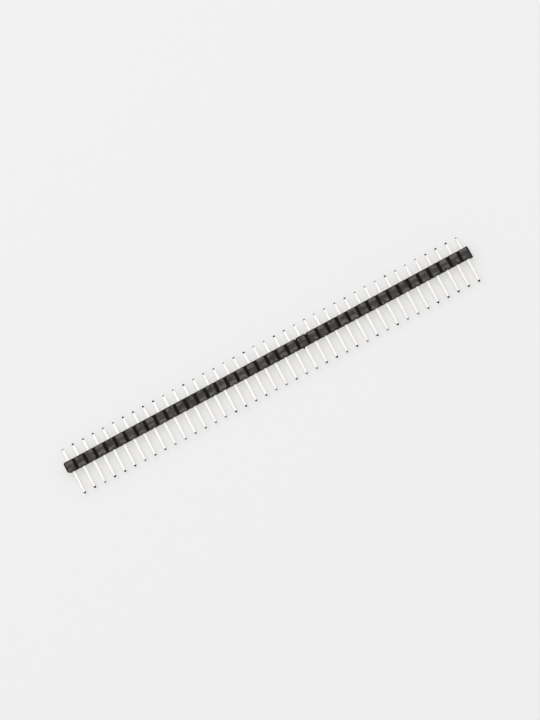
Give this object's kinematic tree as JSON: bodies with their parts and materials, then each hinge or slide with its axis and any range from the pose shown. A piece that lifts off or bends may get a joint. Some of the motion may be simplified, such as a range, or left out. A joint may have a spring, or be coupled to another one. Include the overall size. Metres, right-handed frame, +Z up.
{
  "type": "pin header strip",
  "caption": "Breakaway single-row pin header: a notched moulded housing with square tin-plated pins pressed through it, short tails one side and long posts the other.",
  "frame": {"origin": "on the surface that the strip lies on, under the middle of the row and the middle of the pins' length", "axes": "+X along the row from the cell with the cut corners to the cell with the torn web, +Y towards the short solder tails, -Y towards the long posts, +Z up across the housing"},
  "size_m": [0.1017, 0.0112, 0.0025],
  "materials": {
    "housing_plastic": "moulded black glass-filled thermoplastic, satin",
    "pin_tin": "bright tin plate over brass wire"
  },
  "bodies": {
    "root": {"housing": "housing_plastic", "pin_01": "pin_tin", "pin_02": "pin_tin", "pin_03": "pin_tin", "pin_04": "pin_tin", "pin_05": "pin_tin", "pin_06": "pin_tin", "pin_07": "pin_tin", "pin_08": "pin_tin", "pin_09": "pin_tin", "pin_10": "pin_tin", "pin_11": "pin_tin", "pin_12": "pin_tin", "pin_13": "pin_tin", "pin_14": "pin_tin", "pin_15": "pin_tin", "pin_16": "pin_tin", "pin_17": "pin_tin", "pin_18": "pin_tin", "pin_19": "pin_tin", "pin_20": "pin_tin", "pin_21": "pin_tin", "pin_22": "pin_tin", "pin_23": "pin_tin", "pin_24": "pin_tin", "pin_25": "pin_tin", "pin_26": "pin_tin", "pin_27": "pin_tin", "pin_28": "pin_tin", "pin_29": "pin_tin", "pin_30": "pin_tin", "pin_31": "pin_tin", "pin_32": "pin_tin", "pin_33": "pin_tin", "pin_34": "pin_tin", "pin_35": "pin_tin", "pin_36": "pin_tin", "pin_37": "pin_tin", "pin_38": "pin_tin", "pin_39": "pin_tin", "pin_40": "pin_tin"}
  },
  "joints": []
}
